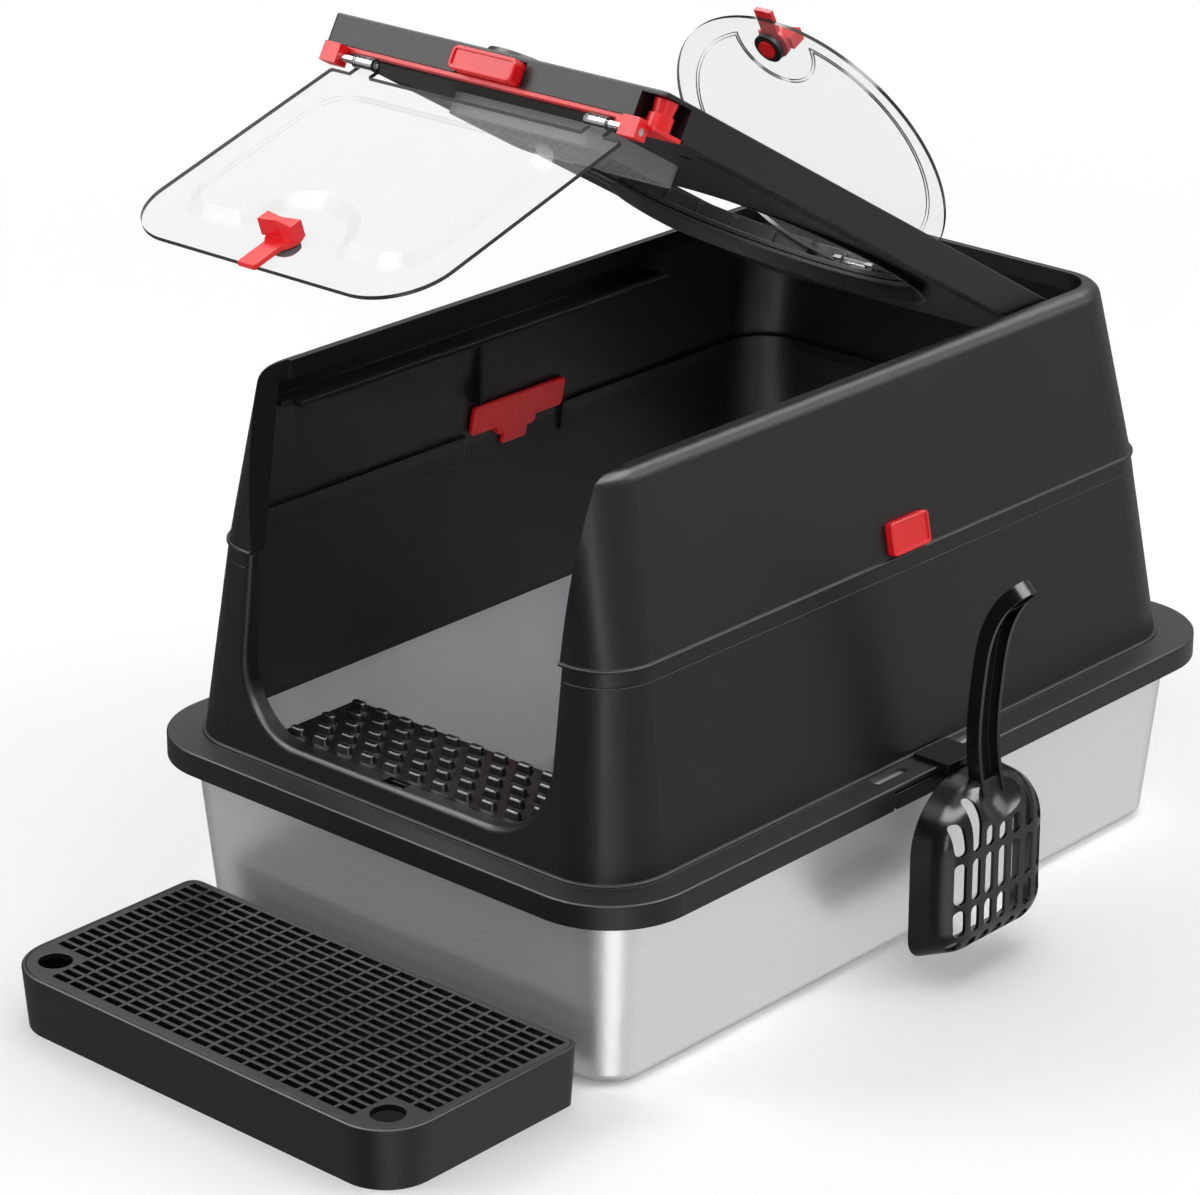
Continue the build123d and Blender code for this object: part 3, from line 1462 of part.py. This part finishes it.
# Hanger on the flange: foot, arm over the edge and the peg the scoop hangs on
peg_share = (hanger_peg_end - scoop_rim_x) / (scoop_back_x - scoop_rim_x)
peg_top = scoop_top - scoop_sheet - (scoop_top - scoop_back_top) * peg_share - seat_play
with BuildPart() as scoop_hanger:
    with BuildSketch(Plane.XZ.offset(-scoop_y - hanger_half_width)):
        with BuildLine():
            Polyline(
                (hanger_foot_inner, flange_top),
                (hanger_gap, flange_top),
                (hanger_gap, peg_top - hanger_peg_sheet),
                (hanger_gap + hanger_arm, peg_top - hanger_peg_sheet),
                (hanger_gap + hanger_arm, flange_top + hanger_foot_sheet),
                (hanger_foot_inner, flange_top + hanger_foot_sheet),
                close=True,
            )
        make_face()
    extrude(amount=2 * hanger_half_width)
    with BuildSketch(Plane.XY.offset(peg_top - hanger_peg_sheet)):
        with Locations((hanger_gap, scoop_y)):
            Rectangle(hanger_peg_end - hanger_gap, 2 * hanger_peg_half, align=(Align.MIN, Align.CENTER))
    extrude(amount=hanger_peg_sheet)
keep(scoop_hanger, "scoop_hanger")
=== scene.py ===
import math
import bmesh
import bpy
from mathutils import Matrix, Vector


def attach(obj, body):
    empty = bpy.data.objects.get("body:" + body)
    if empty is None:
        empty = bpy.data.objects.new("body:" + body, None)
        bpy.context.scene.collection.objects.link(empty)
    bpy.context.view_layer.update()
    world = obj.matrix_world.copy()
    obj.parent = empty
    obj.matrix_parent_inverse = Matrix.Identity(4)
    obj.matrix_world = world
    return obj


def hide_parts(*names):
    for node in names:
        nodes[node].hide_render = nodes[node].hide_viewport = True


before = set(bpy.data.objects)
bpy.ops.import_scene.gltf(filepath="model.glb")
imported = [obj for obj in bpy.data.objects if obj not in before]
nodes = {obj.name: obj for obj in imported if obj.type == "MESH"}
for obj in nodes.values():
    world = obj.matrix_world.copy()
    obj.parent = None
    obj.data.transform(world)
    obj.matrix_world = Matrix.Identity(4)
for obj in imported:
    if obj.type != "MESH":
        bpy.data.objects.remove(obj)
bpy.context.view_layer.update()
print("frame loaded:", len(nodes), "nodes")


# shader maths: a socket with operators
class Wire:
    def __init__(self, tree, socket):
        self.tree = tree
        self.socket = socket

    def maths(self, operation, first, second):
        node = self.tree.nodes.new("ShaderNodeMath")
        node.operation = operation
        for place, value in enumerate((first, second)):
            plugIn(self.tree, node.inputs[place], value)
        return Wire(self.tree, node.outputs[0])

    def __add__(self, other):
        return self.maths("ADD", self, other)

    def __radd__(self, other):
        return self.maths("ADD", other, self)

    def __sub__(self, other):
        return self.maths("SUBTRACT", self, other)

    def __rsub__(self, other):
        return self.maths("SUBTRACT", other, self)

    def __mul__(self, other):
        return self.maths("MULTIPLY", self, other)

    def __rmul__(self, other):
        return self.maths("MULTIPLY", other, self)

    def __abs__(self):
        return self.maths("ABSOLUTE", self, 0.0)


def plugIn(tree, socket, value):
    if isinstance(value, Wire):
        tree.links.new(value.socket, socket)
    elif isinstance(value, (tuple, list)) and len(value) == 3 and socket.type == "RGBA":
        socket.default_value = (*value, 1.0)
    else:
        socket.default_value = value


# a node tree that ends in one output, for the world and for materials
class Graph:
    def __init__(self, tree, outputKind):
        self.tree = tree
        self.tree.nodes.clear()
        self.output = self.tree.nodes.new(outputKind)

    def node(self, kind, settings=None, sockets=None, out=0):
        node = self.tree.nodes.new(kind)
        for key, value in (settings or {}).items():
            setattr(node, key, value)
        for key, value in (sockets or {}).items():
            plugIn(self.tree, node.inputs[key], value)
        return Wire(self.tree, node.outputs[out])

    def show(self, surface):
        self.tree.links.new(surface.socket, self.output.inputs["Surface"])


class Finish(Graph):
    def __init__(self, name):
        self.material = bpy.data.materials.new(name)
        self.material.use_nodes = True
        super().__init__(self.material.node_tree, "ShaderNodeOutputMaterial")

    def place(self, stretch=(1, 1, 1)):
        spot = self.node("ShaderNodeTexCoord", out="Object")
        return self.node("ShaderNodeVectorMath", {"operation": "MULTIPLY"}, {0: spot, 1: stretch})

    def noise(self, scale, detail, stretch=(1, 1, 1)):
        sockets = {"Vector": self.place(stretch), "Scale": scale, "Detail": detail}
        return self.node("ShaderNodeTexNoise", None, sockets)

    def tint(self, dark, light, factor):
        sockets = {"Factor": factor, 6: dark, 7: light}  # sockets 6 and 7 take the two colours
        return self.node("ShaderNodeMix", {"data_type": "RGBA"}, sockets, out=2)

    def bump(self, height, strength, distance, edgeRound=0.0):
        sockets = {"Height": height, "Strength": strength, "Distance": distance}
        if edgeRound:
            sockets["Normal"] = self.node("ShaderNodeBevel", {"samples": 4}, {"Radius": edgeRound})
        return self.node("ShaderNodeBump", None, sockets)

    def facing(self, axis):
        normal = self.node("ShaderNodeNewGeometry", out="Normal")
        sockets = {0: normal, 1: axis}
        return abs(self.node("ShaderNodeVectorMath", {"operation": "DOT_PRODUCT"}, sockets, out="Value"))

    def ramp(self, value, start, end, kind="LINEAR"):
        sockets = {"Value": value, "From Min": start, "From Max": end}
        return self.node("ShaderNodeMapRange", {"interpolation_type": kind}, sockets)

    def shade(self, **sockets):
        named = {key.replace("_", " "): value for key, value in sockets.items()}
        self.show(self.node("ShaderNodeBsdfPrincipled", None, named))
        return self.material


# moulded black plastic: fine spark texture, slow drift of tone, soft sheen
mouldSkin = {
    "driftScale": 7.0, "driftDetail": 4.0, "grainDetail": 2.0, "driftRough": 0.08, "grainRough": 0.04,
    "shine": 0.4, "bump": 0.08, "depth": 0.0002,
}
shellPlastic = {
    **mouldSkin, "dark": (0.003, 0.003, 0.0033), "light": (0.006, 0.006, 0.0064), "rough": 0.32,
    "grain": 1500.0, "edgeRound": 0.0008,
}
innerPlastic = {
    **mouldSkin, "dark": (0.004, 0.004, 0.0045), "light": (0.007, 0.007, 0.0075), "rough": 0.44,
    "grain": 1100.0, "edgeRound": 0.0004,
}
scoopPlastic = {
    **mouldSkin, "dark": (0.003, 0.003, 0.0035), "light": (0.006, 0.006, 0.0065), "rough": 0.14,
    "grain": 900.0, "edgeRound": 0.0006,
}


def blackPlastic(name, look):
    finish = Finish(name)
    drift = finish.noise(look["driftScale"], look["driftDetail"])
    grain = finish.noise(look["grain"], look["grainDetail"])
    return finish.shade(
        Base_Color=finish.tint(look["dark"], look["light"], drift),
        Roughness=look["rough"] + drift * look["driftRough"] + grain * look["grainRough"],
        Specular_IOR_Level=look["shine"],
        Normal=finish.bump(grain, look["bump"], look["depth"], look["edgeRound"]),
    )


# drawn stainless sheet with grain running round the pan
panSteel = {
    "dark": (0.74, 0.74, 0.75), "light": (0.88, 0.88, 0.89), "metal": 0.82, "rough": 0.24,
    "grain": (5.0, 5.0, 900.0), "cloud": 9.0, "detail": 3.0, "streakShare": 0.6, "cloudShare": 0.4,
    "streakRough": 0.12, "cloudRough": 0.04, "bump": 0.05, "depth": 0.0002,
}


def stainlessSheet(name, look):
    finish = Finish(name)
    streaks = finish.noise(1.0, look["detail"], look["grain"])
    cloud = finish.noise(look["cloud"], look["detail"])
    mottle = streaks * look["streakShare"] + cloud * look["cloudShare"]
    return finish.shade(
        Base_Color=finish.tint(look["dark"], look["light"], mottle),
        Metallic=look["metal"],
        Roughness=look["rough"] + streaks * look["streakRough"] + cloud * look["cloudRough"],
        Normal=finish.bump(streaks, look["bump"], look["depth"]),
    )


redLook = {
    "dark": (0.60, 0.004, 0.007), "light": (0.76, 0.008, 0.012), "rough": 0.28, "edgeRound": 0.0006,
    "drift": 40.0, "driftDetail": 3.0, "grain": 1800.0, "grainDetail": 2.0, "grainRough": 0.06,
    "bump": 0.06, "depth": 0.0002,
}


def redPlastic(name, look):
    finish = Finish(name)
    drift = finish.noise(look["drift"], look["driftDetail"])
    grain = finish.noise(look["grain"], look["grainDetail"])
    return finish.shade(
        Base_Color=finish.tint(look["dark"], look["light"], drift),
        Roughness=look["rough"] + grain * look["grainRough"],
        Normal=finish.bump(grain, look["bump"], look["depth"], look["edgeRound"]),
    )


# clear sheet: faces almost colourless with a faint sheen; painted shade darkens the cut edges and emboss
# walls, painted sheen whitens the sloped faces
clearLook = {
    "clear": (0.965, 0.968, 0.97), "sheen": (0.82, 0.83, 0.84), "edge": (0.012, 0.012, 0.013),
    "veilAndSheen": 0.06, "slopeSheen": 0.16, "edgeShare": 0.92, "edgeFrom": 0.45, "edgeTo": 0.2,
    "slopeSheenFrom": 0.98, "slopeSheenTo": 0.86, "haze": 25.0, "hazeDetail": 4.0, "hazeVeil": 0.03,
    "rough": 0.08, "hazeRough": 0.05,
}


def clearSheet(name, look, faceAxis):
    finish = Finish(name)
    flat = finish.facing(faceAxis)
    # painted shade: faces turned across the sheet's face axis, the cut edges and emboss walls, take the
    # dark colour and a near-opaque share
    edge = finish.ramp(flat, look["edgeFrom"], look["edgeTo"])
    # painted sheen: sloped faces of the embossed panel get a larger share of the pale opaque layer
    slopeSheenMask = finish.ramp(flat, look["slopeSheenFrom"], look["slopeSheenTo"])
    haze = finish.noise(look["haze"], look["hazeDetail"])
    body = finish.node("ShaderNodeBsdfPrincipled", None, {
        "Base Color": finish.tint(look["sheen"], look["edge"], edge),
        "Roughness": look["rough"] + haze * look["hazeRough"],
    })
    through = finish.node("ShaderNodeBsdfTransparent", None, {"Color": look["clear"]})
    # opaque share of the pale layer: even milky base and random haze, plus painted sheen on the slopes;
    # painted shade at the cut edges is added below
    veilAndSheen = look["veilAndSheen"] + haze * look["hazeVeil"] + slopeSheenMask * look["slopeSheen"]
    share = veilAndSheen + edge * (look["edgeShare"] - look["slopeSheen"])
    finish.show(finish.node("ShaderNodeMixShader", None, {0: share, 1: through, 2: body}))
    return finish.material


pinLook = {
    "dark": (0.50, 0.50, 0.51), "light": (0.70, 0.70, 0.71), "rough": 0.18, "turnRough": 0.1,
    "turning": (3000.0, 60.0, 60.0), "detail": 2.0,
}


def pinSteel(name, look):
    finish = Finish(name)
    turning = finish.noise(1.0, look["detail"], look["turning"])
    return finish.shade(
        Base_Color=finish.tint(look["dark"], look["light"], turning),
        Metallic=1.0,
        Roughness=look["rough"] + turning * look["turnRough"],
    )


feltLook = {
    "dark": (0.010, 0.010, 0.010), "light": (0.05, 0.05, 0.05), "fibre": 700.0, "detail": 6.0,
    "rough": 0.95, "bump": 0.6, "depth": 0.0006,
}


def feltPad(name, look):
    finish = Finish(name)
    fibre = finish.noise(look["fibre"], look["detail"])
    return finish.shade(
        Base_Color=finish.tint(look["dark"], look["light"], fibre),
        Roughness=look["rough"],
        Normal=finish.bump(fibre, look["bump"], look["depth"]),
    )


toneSkin = {"drift": 30.0, "detail": 4.0, "driftRough": 0.1, "bump": 0.05, "depth": 0.0003}
meshLook = {**toneSkin, "dark": (0.15, 0.15, 0.155), "light": (0.23, 0.23, 0.235), "rough": 0.35}
studLook = {**toneSkin, "dark": (0.008, 0.008, 0.009), "light": (0.016, 0.016, 0.017), "rough": 0.22}


def mouldedTone(name, look):
    finish = Finish(name)
    drift = finish.noise(look["drift"], look["detail"])
    return finish.shade(
        Base_Color=finish.tint(look["dark"], look["light"], drift),
        Roughness=look["rough"] + drift * look["driftRough"],
        Normal=finish.bump(drift, look["bump"], look["depth"]),
    )


# how far the lid, the front flap and the round flap are turned at rest
lidTilt = math.radians(30)
flapDip = math.radians(17.4)
discLift = math.radians(62)
flapNormal = (0.0, -math.sin(flapDip), math.cos(flapDip))
discNormal = (0.0, math.sin(discLift), math.cos(discLift))
lidNormal = (0.0, math.sin(lidTilt), math.cos(lidTilt))

shellBlack = blackPlastic("shellBlack", shellPlastic)
innerBlack = blackPlastic("innerBlack", innerPlastic)
scoopBlack = blackPlastic("scoopBlack", scoopPlastic)
panMetal = stainlessSheet("panMetal", panSteel)
signalRed = redPlastic("signalRed", redLook)
flapClear = clearSheet("flapClear", clearLook, flapNormal)
discClear = clearSheet("discClear", clearLook, discNormal)
clipClear = clearSheet("clipClear", clearLook, lidNormal)
brightPin = pinSteel("brightPin", pinLook)
padFelt = feltPad("padFelt", feltLook)
paleMesh = mouldedTone("paleMesh", meshLook)
studRubber = mouldedTone("studRubber", studLook)

# the material of every CAD node but the carbon filter, which the quilted pad replaces
wears = {
    "steel_pan": panMetal,
    "lower_enclosure": shellBlack,
    "upper_enclosure": shellBlack,
    "entry_tread": studRubber,
    "left_seam_clip": signalRed,
    "right_seam_clip": signalRed,
    "left_pan_buckle": shellBlack,
    "right_pan_buckle": shellBlack,
    "left_buckle_pin": brightPin,
    "right_buckle_pin": brightPin,
    "scoop_hanger": scoopBlack,
    "scoop": scoopBlack,
    "lid_frame": shellBlack,
    "lid_liner": innerBlack,
    "lid_hinge_pins": brightPin,
    "lid_release_button": signalRed,
    "flap_hinge_carrier": signalRed,
    "corner_lock_knob": signalRed,
    "flap_hinge_pins": brightPin,
    "front_flap": flapClear,
    "front_flap_latch": signalRed,
    "front_flap_latch_hub": innerBlack,
    "top_flap": discClear,
    "top_flap_latch": signalRed,
    "top_flap_latch_hub": innerBlack,
    "top_flap_hinge_pin": brightPin,
    "filter_cover": paleMesh,
    "filter_clip": clipClear,
    "step_base": shellBlack,
    "step_grate": shellBlack,
}
for nodeName, material in wears.items():
    held = nodes[nodeName].data.materials
    held.clear()
    held.append(material)
print("finishes on", len(wears), "nodes")

# quilted carbon pad inside the mesh tray, placed from the lid hinge
padLook = {
    "half": (0.0556, 0.0346, 0.0061), "hinge": (0, 0.186, 0.3586), "middle": (0.0, -0.343, -0.01845),
    "quilt": 0.016, "puff": 0.2, "round": 48, "up": 20,
    "sideCurve": 0.3, "cornerCurve": 0.25, "topCurve": 0.5,
}


def softPower(value, power):
    return math.copysign(abs(value) ** power, value)


def quiltedPad(look):
    shape = bmesh.new()
    halfX, halfY, halfZ = look["half"]
    rings = []
    for level in range(1, look["up"]):
        rise = math.pi * (level / look["up"] - 0.5)
        draw = softPower(math.cos(rise), look["sideCurve"])
        ring = []
        for step in range(look["round"]):
            turn = 2 * math.pi * step / look["round"]
            x = halfX * draw * softPower(math.cos(turn), look["cornerCurve"])
            y = halfY * draw * softPower(math.sin(turn), look["cornerCurve"])
            puff = abs(math.sin(math.pi * x / look["quilt"]) * math.sin(math.pi * y / look["quilt"]))
            fullness = 1 - look["puff"] + look["puff"] * puff
            z = halfZ * softPower(math.sin(rise), look["topCurve"]) * fullness
            ring.append(shape.verts.new((x, y, z)))
        rings.append(ring)
    for low, high in zip(rings, rings[1:]):
        for step in range(look["round"]):
            after = (step + 1) % look["round"]
            shape.faces.new((low[step], low[after], high[after], high[step]))
    shape.faces.new(list(reversed(rings[0])))
    shape.faces.new(rings[-1])
    lidPlace = Matrix.Translation(look["hinge"]) @ Matrix.Rotation(-lidTilt, 4, "X")
    shape.transform(lidPlace @ Matrix.Translation(look["middle"]))
    mesh = bpy.data.meshes.new("filterPad")
    shape.to_mesh(mesh)
    shape.free()
    for face in mesh.polygons:
        face.use_smooth = True
    pad = bpy.data.objects.new("filterPad", mesh)
    bpy.context.scene.collection.objects.link(pad)
    mesh.materials.append(padFelt)
    return pad


filterPad = quiltedPad(padLook)
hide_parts("carbon_filter")
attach(filterPad, "lid")
print("filter pad in its tray")


# floor: paper under the object that turns to plain white further out
floorLook = {
    "size": 14.0, "tone": (0.93, 0.93, 0.93), "rough": 0.9, "shine": 0.1,
    "shadowReach": 0.75, "whiteFrom": 1.9,
}
bpy.ops.mesh.primitive_plane_add(size=floorLook["size"], location=(0, 0, 0))
floor = bpy.context.object
floor.name = "studioFloor"


def floorPaper(look):
    finish = Finish("floorPaper")
    paper = finish.node("ShaderNodeBsdfPrincipled", None, {
        "Base Color": look["tone"], "Roughness": look["rough"], "Specular IOR Level": look["shine"],
    })
    spot = finish.node("ShaderNodeNewGeometry", out="Position")
    reach = finish.node("ShaderNodeVectorMath", {"operation": "LENGTH"}, {0: spot}, out="Value")
    far = finish.ramp(reach, look["shadowReach"], look["whiteFrom"], "SMOOTHSTEP")
    white = finish.node("ShaderNodeEmission", None, {"Color": (1, 1, 1), "Strength": 1.0})
    seen = finish.node("ShaderNodeLightPath", out="Is Camera Ray")
    finish.show(finish.node("ShaderNodeMixShader", None, {0: far * seen, 1: paper, 2: white}))
    return finish.material


floor.data.materials.append(floorPaper(floorLook))
floor.visible_glossy = False  # black plastic mirrors the dim side of the studio, not the floor

# studio world: white to the camera and through glass, dim with soft glows in reflections
worldLook = {
    "seen": 1.0, "light": 0.68, "dim": 0.12, "bright": 0.54, "low": 0.72, "corner": 1.4, "floor": 0.1,
    "ring": 11.0, "front": 0.15, "up": (0, 0, 1), "down": (0, 0, -1), "towards": (0.75, 0.6, 0.28),
    "nearSide": (0.68, -0.62, -0.4), "farSide": (-0.62, -0.66, -0.52),
}
world = bpy.data.worlds.new("studioWorld")
bpy.context.scene.world = world
world.use_nodes = True
studio = Graph(world.node_tree, "ShaderNodeOutputWorld")
seenDirectly = studio.node("ShaderNodeLightPath", out="Is Camera Ray")
seenInGloss = studio.node("ShaderNodeLightPath", out="Is Glossy Ray")
seenThrough = studio.node("ShaderNodeLightPath", out="Is Transmission Ray")
heading = studio.node("ShaderNodeTexCoord", out="Generated")


def along(direction, start, end):
    sockets = {0: heading, 1: Vector(worldLook[direction]).normalized()}
    turned = studio.node("ShaderNodeVectorMath", {"operation": "DOT_PRODUCT"}, sockets, out="Value")
    sockets = {"Value": turned, "From Min": start, "From Max": end}
    return studio.node("ShaderNodeMapRange", {"interpolation_type": "SMOOTHSTEP"}, sockets)


sideGlow = along("towards", -0.35, 0.95)
lowGlow = along("down", 0.3, 0.52)  # pale floor close to the pan
cornerGlow = along("nearSide", 0.86, 1.0)
ringGlow = along("up", 0.66, 0.74) - along("up", 0.88, 0.95)  # strip lights that draw the rounded edges
frontGlow = along("farSide", 0.8, 1.0)
sideTone = worldLook["bright"] - worldLook["dim"] + lowGlow * (worldLook["low"] - worldLook["bright"])
glossTone = worldLook["dim"] + sideGlow * sideTone + cornerGlow * worldLook["corner"]
glossTone = glossTone + lowGlow * worldLook["floor"] + ringGlow * worldLook["ring"]
glossTone = glossTone + frontGlow * worldLook["front"]
plainView = seenDirectly.maths("MAXIMUM", seenDirectly, seenThrough)
mixed = plainView * worldLook["seen"] + seenInGloss * (1.0 - plainView) * glossTone
skyLevel = mixed + (1.0 - plainView) * (1.0 - seenInGloss) * worldLook["light"]
studio.show(studio.node("ShaderNodeBackground", None, {"Color": (1, 1, 1), "Strength": skyLevel}))


def pointAt(thing, at, aim):
    thing.location = at
    thing.rotation_euler = (Vector(aim) - Vector(at)).to_track_quat("-Z", "Y").to_euler()
    bpy.context.scene.collection.objects.link(thing)


lamps = {
    "frontBox": {"at": (-2.3, -2.2, 2.1), "aim": (0, -0.2, 0.45), "wide": 1.5, "tall": 1.5, "watts": 39},
    "rightBox": {"at": (2.3, 2.2, 1.7), "aim": (0.1, 0, 0.3), "wide": 1.4, "tall": 1.4, "watts": 26},
    "topBox": {"at": (0.2, 0.4, 3.0), "aim": (0, 0, 0.3), "wide": 2.4, "tall": 2.4, "watts": 21},
    "cornerStrip": {
        "at": (1.75, -2.3, 0.55), "aim": (0.15, -0.25, 0.2), "wide": 0.35, "tall": 1.3, "watts": 9,
    },
}
for name, look in lamps.items():
    light = bpy.data.lights.new(name, "AREA")
    light.shape = "RECTANGLE"
    light.size = look["wide"]
    light.size_y = look["tall"]
    light.energy = look["watts"]
    pointAt(bpy.data.objects.new(name, light), look["at"], look["aim"])

# camera solved from points of the picture
cameraLook = {
    "at": (1.69004, -1.95414, 1.23256), "aim": (-0.0419, -0.0431, 0.1865), "lens": 131.73, "sensor": 36,
}
lens = bpy.data.cameras.new("pictureCamera")
lens.sensor_fit = "HORIZONTAL"
lens.sensor_width = cameraLook["sensor"]
lens.lens = cameraLook["lens"]
camera = bpy.data.objects.new("pictureCamera", lens)
pointAt(camera, cameraLook["at"], cameraLook["aim"])
bpy.context.scene.camera = camera
bpy.context.scene.view_settings.view_transform = "Standard"
print("stage, lamps and camera set")
